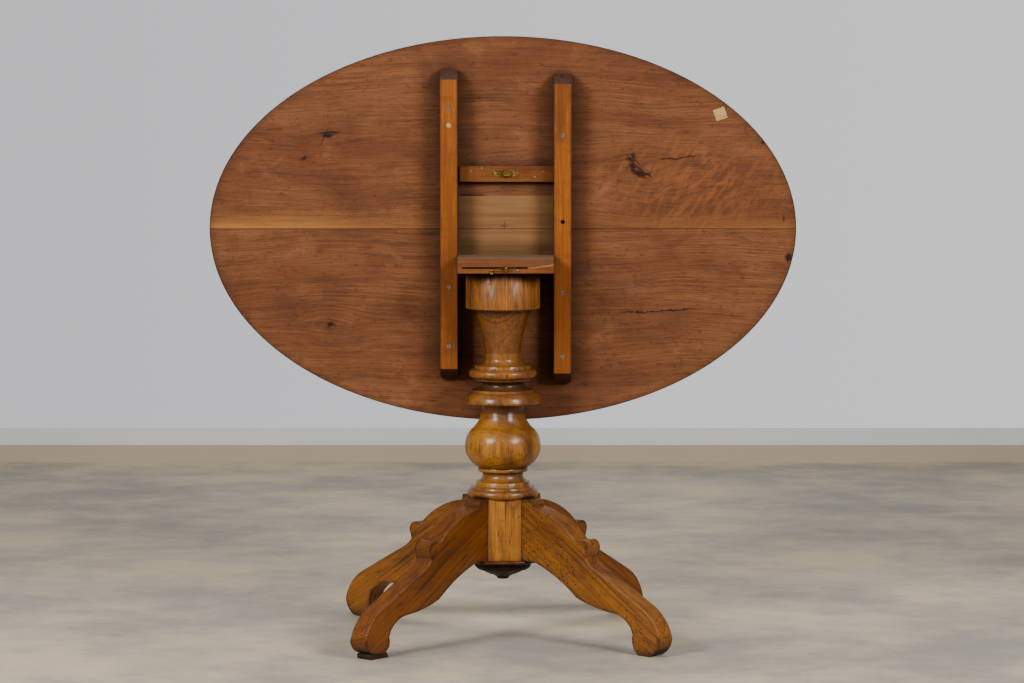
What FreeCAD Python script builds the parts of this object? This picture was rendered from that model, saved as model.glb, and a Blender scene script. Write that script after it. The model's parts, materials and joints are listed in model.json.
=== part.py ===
# Tilt top table: an oval top on two bearers that pivots on a block over a turned column with four legs.
# Rest pose: the top stands upright behind the column. +Z up, -Y front, origin on the floor under the column.
import FreeCAD, Part
import Sketcher
import math
import os

doc = FreeCAD.newDocument("tilt_top_table")
sheet = doc.addObject("Spreadsheet::Sheet", "Sizes")

SIZES = [
    ("top_long", 1131), ("top_short", 740), ("top_thick", 21), ("top_edge_round", 7),
    ("pivot_back", 63), ("pivot_drop", 14), ("block_top", 727), ("seat_gap", 0.3),
    ("block_wide", 183), ("block_front", 87), ("side_slip", 5.5), ("pin_cover", 2.5), ("block_slot", 3),
    ("block_lower", 8.5),
    ("slot_deep", 50), ("slot_stop", 10), ("slot_right", 50), ("corner_round", 5),
    ("pin_radius", 3.5), ("pin_fit", 0.05), ("pin_in_block", 30), ("pin_in_bearer", 24),
    ("bearer_gap", 1), ("bearer_wide", 33), ("bearer_tall", 45), ("bearer_long", 592), ("bearer_bevel", 19),
    ("left_shift", 9.5), ("right_shift", 1),
    ("rail_near", 154), ("rail_wide", 30), ("rail_thick", 15), ("rail_gap", 4),
    ("keeper_near", 163.5), ("keeper_wide", 12.5), ("keeper_long", 50), ("keeper_thick", 1.2),
    ("staple_near", 165), ("staple_deep", 10), ("staple_half", 8), ("staple_inner", 4.6),
    ("staple_rise", 4.6), ("staple_wall", 1.5),
    ("bolt_half", 3.6), ("bolt_thick", 2), ("bolt_out", 12), ("bolt_back", 40),
    ("arm_radius", 1.3), ("arm_forward", 2.2), ("arm_drop", 4.4), ("arm_reach", 24),
    ("tenon_radius", 25), ("tenon_long", 18),
    ("drum_radius", 70.7), ("drum_tall", 72), ("neck_radius", 33.8), ("bell_radius", 73.3), ("bulb_radius", 72.7),
    ("waist_radius", 39), ("collar_radius", 68.8),
    ("hub_top", 266.5), ("hub_bottom", 150), ("hub_half", 59.5), ("facet_half", 31.5), ("base_yaw", 3.6),
    ("dovetail_deep", 18), ("dovetail_neck", 9), ("dovetail_half", 13), ("dovetail_top", 240),
    ("leg_thick", 40), ("leg_arris", 3), ("leg_reach", 401),
    ("plate_thick", 7), ("plate_over", 8), ("pendant_radius", 54), ("pendant_tall", 34), ("stub_radius", 11.5),
    ("pad_tall", 10), ("pad_wide", 35),
    ("screw_radius", 2.2), ("screw_head", 4.6), ("screw_sink", 2.6), ("screw_bite", 12),
]


class Dim:
    """A length that carries its number and the spreadsheet expression it comes from."""

    def __init__(self, value, text):
        self.value = float(value)
        self.text = text

    def __add__(self, other):
        other = lift(other)
        return Dim(self.value + other.value, "(%s + %s)" % (self.text, other.text))

    def __sub__(self, other):
        other = lift(other)
        return Dim(self.value - other.value, "(%s - %s)" % (self.text, other.text))

    def __mul__(self, other):
        other = lift(other)
        return Dim(self.value * other.value, "(%s * %s)" % (self.text, other.text))

    def __truediv__(self, other):
        other = lift(other)
        return Dim(self.value / other.value, "(%s / %s)" % (self.text, other.text))

    def __neg__(self):
        return lift(0) - self

    def __radd__(self, other):
        return lift(other) + self

    def __rsub__(self, other):
        return lift(other) - self

    def __rmul__(self, other):
        return lift(other) * self


def lift(number):
    return number if isinstance(number, Dim) else Dim(number, "%.6g" % number)


for row, (name, size) in enumerate(SIZES, start=1):
    sheet.set("A%d" % row, name)
    sheet.set("B%d" % row, str(size))
    sheet.setAlias("B%d" % row, name)
doc.recompute()
D = {name: Dim(size, "Sizes.%s" % name) for name, size in SIZES}


def bind(feature, path, dim):
    """Drive one property of a feature from the sheet."""
    feature.setExpression(path, lift(dim).text)


def new_body(label):
    body = doc.addObject("PartDesign::Body", label)
    body.Label = label
    return body


def new_sketch(body, role, height=0):
    """A sketch on one of the body's own origin planes, raised along the plane's normal."""
    plane = next(item for item in body.Origin.OriginFeatures if item.Role == role)
    sketch = body.newObject("Sketcher::SketchObject", "Sketch")
    sketch.AttachmentSupport = (plane, [""])
    sketch.MapMode = "FlatFace"
    height = lift(height)
    sketch.AttachmentOffset = FreeCAD.Placement(FreeCAD.Vector(0, 0, height.value), FreeCAD.Rotation())
    bind(sketch, "AttachmentOffset.Base.z", height)
    return sketch


def flat(point):
    return FreeCAD.Vector(lift(point[0]).value, lift(point[1]).value, 0)


def fix_point(sketch, geo, pos, point):
    """Hold a sketch point at driven coordinates."""
    for kind, axis, coordinate in (("DistanceX", -2, point[0]), ("DistanceY", -1, point[1])):
        dim = lift(coordinate)
        if abs(dim.value) < 1e-9:
            sketch.addConstraint(Sketcher.Constraint("PointOnObject", geo, pos, axis))
            continue
        ends = (-1, 1, geo, pos) if dim.value > 0 else (geo, pos, -1, 1)
        index = sketch.addConstraint(Sketcher.Constraint(kind, *ends, abs(dim.value)))
        bind(sketch, "Constraints[%d]" % index, dim if dim.value > 0 else -dim)


def arc_through(start, via, end):
    """Counter-clockwise arc through three points and the order of its two ends."""
    chord, side = via - start, end - start
    area = 2 * chord.cross(side).z
    shift = FreeCAD.Vector(side.y * chord.dot(chord) - chord.y * side.dot(side),
                           chord.x * side.dot(side) - side.x * chord.dot(chord), 0) / area
    centre = start + shift
    order = (1, 2) if area > 0 else (2, 1)
    first, last = (start, end) if area > 0 else (end, start)
    angles = [math.atan2(point.y - centre.y, point.x - centre.x) for point in (first, last)]
    circle = Part.Circle(centre, FreeCAD.Vector(0, 0, 1), shift.Length)
    return Part.ArcOfCircle(circle, *angles), order


def trace(sketch, start, steps):
    """Closed outline: each step is (end,) for a straight or (via, end) for an arc."""
    here = start
    ends = []
    for step in steps:
        if len(step) == 1:
            geo = sketch.addGeometry(Part.LineSegment(flat(here), flat(step[-1])), False)
            order = (1, 2)
        else:
            arc, order = arc_through(flat(here), flat(step[0]), flat(step[-1]))
            geo = sketch.addGeometry(arc, False)
        ends.append((geo, order, step))
        here = step[-1]
    for (geo, order, step), (after, after_order, _) in zip(ends, ends[1:] + ends[:1]):
        sketch.addConstraint(Sketcher.Constraint("Coincident", geo, order[1], after, after_order[0]))
        fix_point(sketch, geo, order[1], step[-1])
        if len(step) == 2:
            mark = sketch.addGeometry(Part.Point(flat(step[0])), True)
            fix_point(sketch, mark, 1, step[0])
            sketch.addConstraint(Sketcher.Constraint("PointOnObject", mark, 1, geo))


def box_outline(sketch, left, right, low, high):
    trace(sketch, (left, low), [((right, low),), ((right, high),), ((left, high),), ((left, low),)])


def ring(sketch, centre, radius):
    """A circle with a driven centre and radius."""
    radius = lift(radius)
    circle = Part.Circle(flat(centre), FreeCAD.Vector(0, 0, 1), radius.value)
    geo = sketch.addGeometry(circle, False)
    fix_point(sketch, geo, 3, centre)
    index = sketch.addConstraint(Sketcher.Constraint("Radius", geo, radius.value))
    bind(sketch, "Constraints[%d]" % index, radius)


def pad(body, sketch, length, back=False, both=False):
    feature = body.newObject("PartDesign::Pad", "Pad")
    feature.Profile = sketch
    feature.Length = lift(length).value
    bind(feature, "Length", length)
    feature.Reversed = back
    if both:
        feature.SideType = "Symmetric"
    body.Tip = feature
    return feature


def pocket(body, sketch, depth, back=False, both=False):
    feature = body.newObject("PartDesign::Pocket", "Pocket")
    feature.Profile = sketch
    feature.Length = lift(depth).value
    bind(feature, "Length", depth)
    feature.Reversed = back
    if both:
        feature.SideType = "Symmetric"
    body.Tip = feature
    return feature


def turn(body, sketch):
    feature = body.newObject("PartDesign::Revolution", "Revolution")
    feature.Profile = sketch
    feature.ReferenceAxis = (sketch, ["V_Axis"])
    feature.Angle = 360
    body.Tip = feature
    return feature


def dress(body, kind, radius, wanted):
    """Fillet or chamfer the edges of the tip that the test picks."""
    doc.recompute()
    base = body.Tip
    names = ["Edge%d" % (i + 1) for i, edge in enumerate(base.Shape.Edges) if wanted(edge)]
    assert names, "no edge to dress on %s" % body.Label
    feature = body.newObject("PartDesign::" + kind, kind)
    feature.Base = (base, names)
    path = "Radius" if kind == "Fillet" else "Size"
    setattr(feature, path, lift(radius).value)
    bind(feature, path, radius)
    body.Tip = feature
    return feature


def spread(edge):
    """Size of an edge's box, as a vector."""
    box = edge.BoundBox
    return FreeCAD.Vector(box.XLength, box.YLength, box.ZLength)


PIVOT_Y = D["pivot_back"]
PIVOT_Z = D["block_top"] - D["pivot_drop"]
UNDER = D["pivot_back"] + D["pivot_drop"] + D["seat_gap"]
OVAL_Z = PIVOT_Z + D["pivot_back"]
UPPER = D["pivot_drop"] + D["pin_cover"]
SEAM_Z = D["block_top"] - UPPER - D["block_slot"]
BLOCK_LOW = SEAM_Z - D["block_lower"]
BLOCK_BACK = D["pivot_back"] + D["pivot_drop"]
BLOCK_HALF = D["block_wide"] / 2
BEARER_IN = BLOCK_HALF + D["bearer_gap"]
BEARER_MID = BEARER_IN + D["bearer_wide"] / 2
BEARER_FACE = UNDER - D["bearer_tall"]
RAIL_FACE = UNDER - D["rail_thick"]
SCREWS = {"left": (232, -111, -224), "right": (180, -121, -244)}
PLUG_Z = 199
HOLE_Z = 15
NAILS = ((-46, 180), (-66, 174), (72, 174), (56, 163))
PATCH = (418, 221, 11.5, 3)
CATCH_SCREWS = (-16.2, -5.7, 5.7, 16.2)
GUIDE_LEFT, GUIDE_RIGHT = -18.5, 19.5


def make_column():
    """Turned column with the tenon on top and the faceted hub that takes the legs."""
    body = new_body("column")
    neck, waist, drum = D["neck_radius"], D["waist_radius"], D["drum_radius"]
    bell, bulb, collar, top = D["bell_radius"], D["bulb_radius"], D["collar_radius"], BLOCK_LOW
    drum_low = top - D["drum_tall"]
    sketch = new_sketch(body, "XZ_Plane")
    trace(sketch, (0, D["hub_top"]), [
        ((collar - 5, D["hub_top"]),),
        ((collar, D["hub_top"] + 8), (collar - 4, D["hub_top"] + 15)),
        ((collar - 8, D["hub_top"] + 15),),
        ((collar - 8, D["hub_top"] + 20),),
        ((collar - 13.5, D["hub_top"] + 21), (collar - 16.5, D["hub_top"] + 25)),
        ((collar - 17, D["hub_top"] + 30),),
        ((waist + 2.5, D["hub_top"] + 36), (waist, D["hub_top"] + 45)),
        ((waist, D["hub_top"] + 49),),
        ((waist + 7, D["hub_top"] + 49),),
        ((waist + 9.2, D["hub_top"] + 53.5), (waist + 7, D["hub_top"] + 58)),
        ((bulb - 24, D["hub_top"] + 58),),
        ((bulb - 8, D["hub_top"] + 72.5), (bulb, D["hub_top"] + 97)),
        ((bulb - 3.6, D["hub_top"] + 117), (bulb - 12, D["hub_top"] + 130)),
        ((waist + 9, D["hub_top"] + 144), (waist + 3, D["hub_top"] + 162)),
        ((waist + 1, D["hub_top"] + 164),),
        ((waist + 2.5, D["hub_top"] + 166),),
        ((waist + 2.5, D["hub_top"] + 180),),
        ((bell - 2, D["hub_top"] + 180),),
        ((bell, D["hub_top"] + 183), (bell - 1, D["hub_top"] + 187)),
        ((bell - 5, D["hub_top"] + 196), (bell - 14, D["hub_top"] + 202)),
        ((bell - 14.3, D["hub_top"] + 206),),
        ((waist + 3.5, D["hub_top"] + 209), (waist, D["hub_top"] + 215)),
        ((waist + 3, D["hub_top"] + 221), (waist + 14, D["hub_top"] + 224),),
        ((waist + 14, D["hub_top"] + 229),),
        ((waist + 19, D["hub_top"] + 229),),
        ((waist + 25.8, D["hub_top"] + 237), (waist + 19, D["hub_top"] + 245)),
        ((neck + 20.5, D["hub_top"] + 245),),
        ((neck + 20.5, D["hub_top"] + 252),),
        ((neck + 4.5, D["hub_top"] + 256), (neck, D["hub_top"] + 266)),
        ((neck + 3.6, drum_low - 60), (neck + 17.5, drum_low - 8)),
        ((neck + 20, drum_low),),
        ((drum - 2, drum_low),),
        ((drum, drum_low + 2),),
        ((drum, top),),
        ((D["tenon_radius"], top),),
        ((D["tenon_radius"], top + D["tenon_long"]),),
        ((0, top + D["tenon_long"]),),
        ((0, D["hub_top"]),),
    ])
    turn(body, sketch)
    hub = new_sketch(body, "XY_Plane", D["hub_bottom"])
    octagon(hub, D["hub_half"], D["facet_half"])
    pad(body, hub, D["hub_top"] - D["hub_bottom"])
    socket = new_sketch(body, "XY_Plane", D["hub_bottom"])
    dovetail(socket, 0)
    slot = pocket(body, socket, D["dovetail_top"] - D["hub_bottom"], back=True)
    four = body.newObject("PartDesign::PolarPattern", "PolarPattern")
    four.Originals = [slot]
    four.Axis = (next(item for item in body.Origin.OriginFeatures if item.Role == "Z_Axis"), [""])
    four.Angle = 360
    four.Occurrences = 4
    body.Tip = four
    aim(body, D["base_yaw"])
    return body


def octagon(sketch, half, facet):
    """Square of half width half whose four front, back and side facets are 2 x facet wide."""
    trace(sketch, (facet, -half), [
        ((half, -facet),), ((half, facet),), ((facet, half),), ((-facet, half),),
        ((-half, facet),), ((-half, -facet),), ((-facet, -half),), ((facet, -half),),
    ])


def dovetail(sketch, along):
    """Dovetail in plan on the corner facet, pointing inwards; along 0 aims at 45 degrees."""
    reach = (D["hub_half"] + D["facet_half"]) / math.sqrt(2)
    near, far = reach - D["dovetail_deep"], reach + (1 if along == 0 else 0)
    neck, half = D["dovetail_neck"], D["dovetail_half"]
    corners = [(near, -half), (far, -neck), (far, neck), (near, half)]
    if along == 0:
        corners = [((r - w) / math.sqrt(2), (r + w) / math.sqrt(2)) for r, w in corners]
    trace(sketch, corners[0], [(corner,) for corner in corners[1:] + corners[:1]])


def aim(body, angle):
    """Turn a body about the column axis by a driven angle in degrees."""
    angle = lift(angle)
    body.Placement = FreeCAD.Placement(
        FreeCAD.Vector(0, 0, 0), FreeCAD.Rotation(FreeCAD.Vector(0, 0, 1), angle.value))
    body.setExpression("Placement.Rotation.Angle", "%s * 1 deg" % angle.text)


def slip(body):
    """Set a body beside the column's axis with the rest of the pivot frame, and return it."""
    bind(body, "Placement.Base.x", D["side_slip"])
    return body


def make_leg(label, azimuth, sole):
    """Cabriole-style leg sawn from a plank: arch, raised knee, long slope, rounded toe and heel notch."""
    body = new_body(label)
    face = (D["hub_half"] + D["facet_half"]) / math.sqrt(2)
    top, low, reach = D["hub_top"], D["hub_bottom"], D["leg_reach"]
    sole = lift(sole)
    sketch = new_sketch(body, "XZ_Plane")
    trace(sketch, (face, low), [
        ((reach - 303, low),),
        ((reach - 245, low - 26), (reach - 200, low - 57)),
        ((reach - 160, low - 69.5), (reach - 112, low - 77)),
        ((reach - 82, low - 87), (reach - 67, low - 102)),
        ((reach - 63, low - 113),),
        ((reach - 61.5, sole * 0.5 + 14), (reach - 49, sole)),
        ((reach - 25, sole),),
        ((reach - 5, sole * 0.5 + 17), (reach - 1, low - 106)),
        ((reach - 15, low - 82), (reach - 41, low - 60)),
        ((reach - 98, low - 29.5), (reach - 155, low)),
        ((reach - 168, low + 9), (reach - 179, low + 21)),
        ((reach - 175, low + 34),),
        ((reach - 180, low + 48.5), (reach - 197, low + 50.5)),
        ((reach - 203, low + 51.5),),
        ((reach - 250, low + 86), (reach - 304, low + 104)),
        ((reach - 313, low + 105),),
        ((reach - 315, top),),
        ((face, top),),
        ((face, low),),
    ])
    pad(body, sketch, D["leg_thick"], both=True)
    plan = new_sketch(body, "XY_Plane", low)
    dovetail(plan, 1)
    pad(body, plan, D["dovetail_top"] - low)
    half = D["leg_thick"].value / 2

    def upper_arris(edge):
        """Long upper edges of both sides, stopped at the nub of the knee."""
        box = edge.BoundBox
        side = box.YLength < 1e-6 and abs(abs(box.Center.y) - half) < 1e-6
        arch = box.XMin > reach.value - 310 and box.XMax < reach.value - 190 and box.ZMin > low.value + 45
        slope = box.XMin > reach.value - 170 and box.XLength > 90 and box.Center.z > low.value - 60
        return side and (arch or slope)

    dress(body, "Chamfer", D["leg_arris"], upper_arris)
    aim(body, D["base_yaw"] + azimuth)
    return body


def make_hub_plate():
    """Thin plate under the hub that covers the dovetails, with a bull-nosed rim."""
    body = new_body("hub_plate")
    sketch = new_sketch(body, "XY_Plane", D["hub_bottom"])
    half = D["hub_half"] + D["plate_over"]
    octagon(sketch, half, D["facet_half"] + D["plate_over"] * 0.56)
    pad(body, sketch, D["plate_thick"], back=True)
    dress(body, "Fillet", D["plate_thick"] * 0.46, lambda edge: spread(edge).z < 1e-6)
    aim(body, D["base_yaw"])
    return body


def make_pendant():
    """Ogee drop under the hub with a short stub."""
    body = new_body("pendant")
    top = D["hub_bottom"] - D["plate_thick"]
    radius, stub, tall = D["pendant_radius"], D["stub_radius"], D["pendant_tall"]
    sketch = new_sketch(body, "XZ_Plane")
    low = top - tall
    trace(sketch, (0, top), [
        ((radius, top),),
        ((radius, top - tall * 0.24),),
        ((radius - 4, top - tall * 0.40), (radius * 0.78, top - tall * 0.50)),
        ((radius * 0.48, top - tall * 0.72),),
        ((stub + 4, top - tall * 0.84), (stub, top - tall * 0.92)),
        ((stub, low + 1.5),),
        ((stub - 1.5, low),),
        ((0, low),),
        ((0, top),),
    ])
    turn(body, sketch)
    return body


def make_foot_pad():
    """Dark pad that makes up the sole of the front left foot."""
    body = new_body("foot_pad")
    reach, tall = D["leg_reach"], D["pad_tall"]
    sketch = new_sketch(body, "XZ_Plane")
    trace(sketch, (reach - 63, 0), [
        ((reach - 18, 0),),
        ((reach - 16, tall / 2), (reach - 18, tall)),
        ((reach - 59, tall),),
        ((reach - 63, 0),),
    ])
    pad(body, sketch, D["pad_wide"], both=True)
    aim(body, D["base_yaw"] + 225)
    return body


def make_block_lower():
    """Lower board of the pivot block, bored for the column tenon."""
    body = new_body("block_lower_board")
    sketch = new_sketch(body, "XY_Plane", BLOCK_LOW)
    box_outline(sketch, -BLOCK_HALF, BLOCK_HALF, -D["block_front"], BLOCK_BACK)
    pad(body, sketch, D["block_lower"])
    bore = new_sketch(body, "XY_Plane", SEAM_Z)
    ring(bore, (-D["side_slip"], 0), D["tenon_radius"])
    pocket(body, bore, D["block_lower"])
    pilots = new_sketch(body, "XY_Plane", SEAM_Z)
    for x in CATCH_SCREWS:
        ring(pilots, (x, 2.5 - D["block_front"]), 0.9)
    pocket(body, pilots, 6)
    stop = new_sketch(body, "XZ_Plane", D["block_front"])
    ring(stop, (22.3, SEAM_Z - 2.6), 1.2)
    pocket(body, stop, 10)
    soften_block(body)
    return slip(body)


def make_block_upper():
    """Upper board: rounded rear arris, bolt slot in its underside, tenon and pivot bores."""
    body = new_body("block_upper_board")
    sketch = new_sketch(body, "XY_Plane", SEAM_Z)
    box_outline(sketch, -BLOCK_HALF, BLOCK_HALF, -D["block_front"], BLOCK_BACK)
    pad(body, sketch, UPPER + D["block_slot"])
    slot = new_sketch(body, "XY_Plane", SEAM_Z)
    box_outline(slot, D["slot_stop"] - BLOCK_HALF, BLOCK_HALF - D["slot_right"],
                -D["block_front"] - 1, D["slot_deep"] - D["block_front"])
    pocket(body, slot, D["block_slot"], back=True)
    bore = new_sketch(body, "XY_Plane", SEAM_Z)
    ring(bore, (-D["side_slip"], 0), D["tenon_radius"])
    pocket(body, bore, D["tenon_long"] - D["block_lower"] + 0.3, back=True)
    for side in (1, -1):
        pin = new_sketch(body, "YZ_Plane", BLOCK_HALF * side)
        ring(pin, (PIVOT_Y, PIVOT_Z), D["pin_radius"])
        pocket(body, pin, D["pin_in_block"], back=side < 0)
    soften_block(body)
    back = BLOCK_BACK.value
    top = D["block_top"].value

    def rear_arris(edge):
        box = edge.BoundBox
        return box.XLength > 150 and abs(box.YMin - back) < 1e-4 and abs(box.ZMin - top) < 1e-4

    dress(body, "Fillet", D["pivot_drop"] - 0.1, rear_arris)
    return slip(body)


def soften_block(body):
    """Round the two upright front corners of a block board."""
    front = -D["block_front"].value
    half = BLOCK_HALF.value

    def corner(edge):
        box = edge.BoundBox
        upright = box.XLength < 1e-6 and box.YLength < 1e-6 and box.ZLength > 3
        return upright and abs(abs(box.XMin) - half) < 1e-4 and abs(box.YMin - front) < 1e-4

    dress(body, "Fillet", D["corner_round"], corner)


def make_pin(label, side):
    """Iron pivot pin fast in the block, running in the bearer."""
    body = new_body(label)
    start = (BLOCK_HALF - D["pin_in_block"]) * side
    sketch = new_sketch(body, "YZ_Plane", start)
    ring(sketch, (PIVOT_Y, PIVOT_Z), D["pin_radius"])
    pad(body, sketch, D["pin_in_block"] + D["bearer_gap"] + D["pin_in_bearer"], back=side < 0)
    return slip(body)


def make_top_board(label, side):
    """Half of the oval top, with screw pilots; side +1 is the half above the centre joint."""
    body = new_body(label)
    sketch = new_sketch(body, "XZ_Plane", -UNDER)
    major, minor = D["top_long"], D["top_short"]
    centre = flat((0, OVAL_Z))
    right = centre + FreeCAD.Vector(major.value / 2, 0, 0)
    above = centre + FreeCAD.Vector(0, minor.value / 2, 0)
    sketch.addGeometry(Part.Ellipse(right, above, centre), False)
    sketch.exposeInternalGeometry(0)
    fix_point(sketch, 0, 3, (0, OVAL_Z))
    sketch.addConstraint(Sketcher.Constraint("Horizontal", 1))
    for geo, dim in ((1, major), (2, minor)):
        index = sketch.addConstraint(Sketcher.Constraint("Distance", geo, 1, geo, 2, dim.value))
        bind(sketch, "Constraints[%d]" % index, dim)
    pad(body, sketch, D["top_thick"], back=True)
    show = (UNDER + D["top_thick"]).value
    dress(body, "Fillet", D["top_edge_round"], lambda edge: abs(edge.BoundBox.YMin - show) < 1e-4)
    dress(body, "Fillet", 2, lambda edge: abs(edge.BoundBox.YMax - UNDER.value) < 1e-4
          and edge.BoundBox.XLength > 100)
    halves = new_sketch(body, "XZ_Plane", -UNDER)
    reach = major / 2 + 10
    away = OVAL_Z - minor * side
    low, high = (away, OVAL_Z) if side > 0 else (OVAL_Z, away)
    box_outline(halves, -reach, reach, low, high)
    pocket(body, halves, D["top_thick"])
    pilots = new_sketch(body, "XZ_Plane", -UNDER)
    for hand, sign in (("left", -1), ("right", 1)):
        for height in SCREWS[hand]:
            if height * side > 0:
                ring(pilots, (BEARER_MID * sign + D["side_slip"], OVAL_Z + height), D["screw_radius"])
    pocket(body, pilots, D["screw_bite"] + 0.3)
    if side > 0:
        nails = new_sketch(body, "XZ_Plane", -UNDER)
        for x, along in NAILS:
            ring(nails, (D["side_slip"] + x, PIVOT_Z + along), 1)
        pocket(body, nails, 8)
        recess = new_sketch(body, "XZ_Plane", -UNDER)
        patch_outline(recess, 0)
        pocket(body, recess, PATCH[3])
    return body


def patch_outline(sketch, ease):
    """Square let into the underside, turned twenty degrees."""
    x, up, half, _ = PATCH
    reach = (half - ease) * math.sqrt(2)
    angles = [math.radians(45 + 20 + 90 * k) for k in range(4)]
    corners = [(x + reach * math.cos(a), OVAL_Z + (up + reach * math.sin(a))) for a in angles]
    trace(sketch, corners[0], [(corner,) for corner in corners[1:] + corners[:1]])


def make_patch():
    body = new_body("top_patch")
    sketch = new_sketch(body, "XZ_Plane", -UNDER)
    patch_outline(sketch, 0.05)
    pad(body, sketch, PATCH[3] - 0.05, back=True)
    return body


def make_bearer(label, hand, side):
    """Bearer with bevelled ends, screw holes and the blind pivot bore."""
    body = new_body(label)
    middle = OVAL_Z + D[hand + "_shift"]
    low, high = middle - D["bearer_long"] / 2, middle + D["bearer_long"] / 2
    sketch = new_sketch(body, "YZ_Plane", BEARER_IN * side)
    bevel = D["bearer_bevel"]
    trace(sketch, (UNDER, low), [
        ((UNDER, high),),
        ((UNDER - 14, high),),
        ((BEARER_FACE, high - bevel),),
        ((BEARER_FACE, low + bevel),),
        ((UNDER - 14, low),),
        ((UNDER, low),),
    ])
    pad(body, sketch, D["bearer_wide"], back=side < 0)
    bore = new_sketch(body, "YZ_Plane", BEARER_IN * side)
    ring(bore, (PIVOT_Y, PIVOT_Z), D["pin_radius"] + D["pin_fit"])
    pocket(body, bore, D["pin_in_bearer"] + 0.5, back=side > 0)
    centre = BEARER_MID * side
    shanks = new_sketch(body, "XZ_Plane", -BEARER_FACE)
    heads = new_sketch(body, "XZ_Plane", -BEARER_FACE)
    for height in SCREWS[hand]:
        ring(shanks, (centre, OVAL_Z + height), D["screw_radius"])
        ring(heads, (centre, OVAL_Z + height), D["screw_head"])
    pocket(body, shanks, D["bearer_tall"])
    pocket(body, heads, D["screw_sink"])
    spare = new_sketch(body, "XZ_Plane", -BEARER_FACE)
    if hand == "left":
        ring(spare, (centre, OVAL_Z + PLUG_Z), 5)
        pocket(body, spare, 12)
    else:
        ring(spare, (centre, OVAL_Z + HOLE_Z), 4)
        pocket(body, spare, 25)
    return slip(body)


def make_plug():
    """Wooden plug in the left bearer."""
    body = new_body("bearer_plug")
    sketch = new_sketch(body, "XZ_Plane", -BEARER_FACE)
    ring(sketch, (-BEARER_MID, OVAL_Z + PLUG_Z), 5)
    pad(body, sketch, 12, back=True)
    return slip(body)


def make_rail():
    """Cross rail between the bearers that carries the keeper."""
    body = new_body("latch_rail")
    sketch = new_sketch(body, "XZ_Plane", -RAIL_FACE)
    near = PIVOT_Z + D["rail_near"]
    box_outline(sketch, D["rail_gap"] - BEARER_IN, BEARER_IN, near, near + D["rail_wide"])
    pad(body, sketch, D["rail_thick"], back=True)
    nails = new_sketch(body, "XZ_Plane", -RAIL_FACE)
    for x, along in NAILS:
        ring(nails, (x, PIVOT_Z + along), 1)
    pocket(body, nails, D["rail_thick"])
    sinks = new_sketch(body, "XZ_Plane", -RAIL_FACE)
    for x, along in NAILS:
        ring(sinks, (x, PIVOT_Z + along), 2)
    pocket(body, sinks, 1)
    screws = new_sketch(body, "XZ_Plane", -RAIL_FACE)
    for x in (-20, 20):
        ring(screws, (x, PIVOT_Z + D["keeper_near"] + D["keeper_wide"] / 2), 1.2)
    pocket(body, screws, 10)
    return slip(body)


def make_keeper():
    """Brass keeper: plate with rounded ends and a raised staple the bolt enters."""
    body = new_body("keeper_plate")
    low = PIVOT_Z + D["keeper_near"]
    high = low + D["keeper_wide"]
    half = D["keeper_long"] / 2
    sketch = new_sketch(body, "XZ_Plane", -RAIL_FACE)
    nose = D["keeper_wide"] / 2
    trace(sketch, (nose - half, low), [
        ((half - nose, low),),
        ((half, low + nose), (half - nose, high)),
        ((nose - half, high),),
        ((-half, low + nose), (nose - half, low)),
    ])
    pad(body, sketch, D["keeper_thick"])
    face = RAIL_FACE - D["keeper_thick"]
    staple = new_sketch(body, "XZ_Plane", -face)
    near = PIVOT_Z + D["staple_near"]
    box_outline(staple, -D["staple_half"], D["staple_half"], near, near + D["staple_deep"])
    pad(body, staple, D["staple_rise"] + D["staple_wall"])
    mouth = new_sketch(body, "XY_Plane", near + D["staple_deep"])
    box_outline(mouth, -D["staple_inner"], D["staple_inner"], face - D["staple_rise"], face)
    pocket(body, mouth, D["staple_deep"])
    holes = new_sketch(body, "XZ_Plane", -face)
    for x in (-20, 20):
        ring(holes, (x, low + D["keeper_wide"] / 2), 1.2)
    pocket(body, holes, D["keeper_thick"])
    return slip(body)


def make_guide():
    """Thin brass guide plate lying on the lower board under the bolt."""
    body = new_body("catch_guide")
    sketch = new_sketch(body, "XY_Plane", SEAM_Z)
    front = -D["block_front"] - 0.6
    box_outline(sketch, GUIDE_LEFT, GUIDE_RIGHT, front, front + 36)
    pad(body, sketch, 0.6)
    holes = new_sketch(body, "XY_Plane", SEAM_Z + 0.6)
    for x in CATCH_SCREWS:
        ring(holes, (x, 2.5 - D["block_front"]), 0.9)
    pocket(body, holes, 0.6)
    return slip(body)


def make_bolt():
    """Flat bolt in the slot with a tab and a round arm that runs left in front of the block."""
    body = new_body("latch_bolt")
    top = D["block_top"] - UPPER - 0.2
    low = top - D["bolt_thick"]
    front = -D["block_front"]
    sketch = new_sketch(body, "XY_Plane", low)
    half = D["bolt_half"]
    trace(sketch, (-half, front + D["bolt_back"]), [
        ((-half, front + 1.5 - D["bolt_out"]),),
        ((1.5 - half, front - D["bolt_out"]),),
        ((half - 1.5, front - D["bolt_out"]),),
        ((half, front + 1.5 - D["bolt_out"]),),
        ((half, front + D["bolt_back"]),),
        ((-half, front + D["bolt_back"]),),
    ])
    pad(body, sketch, D["bolt_thick"])
    centre = front - D["arm_forward"]
    thick = D["arm_radius"]
    tab = new_sketch(body, "XY_Plane", low)
    box_outline(tab, -half, half, centre - thick, centre + thick)
    pad(body, tab, D["arm_drop"] + thick, back=True)
    arm = new_sketch(body, "YZ_Plane", half)
    ring(arm, (centre, low - D["arm_drop"]), thick)
    pad(body, arm, D["arm_reach"] + half, back=True)
    return slip(body)


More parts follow.
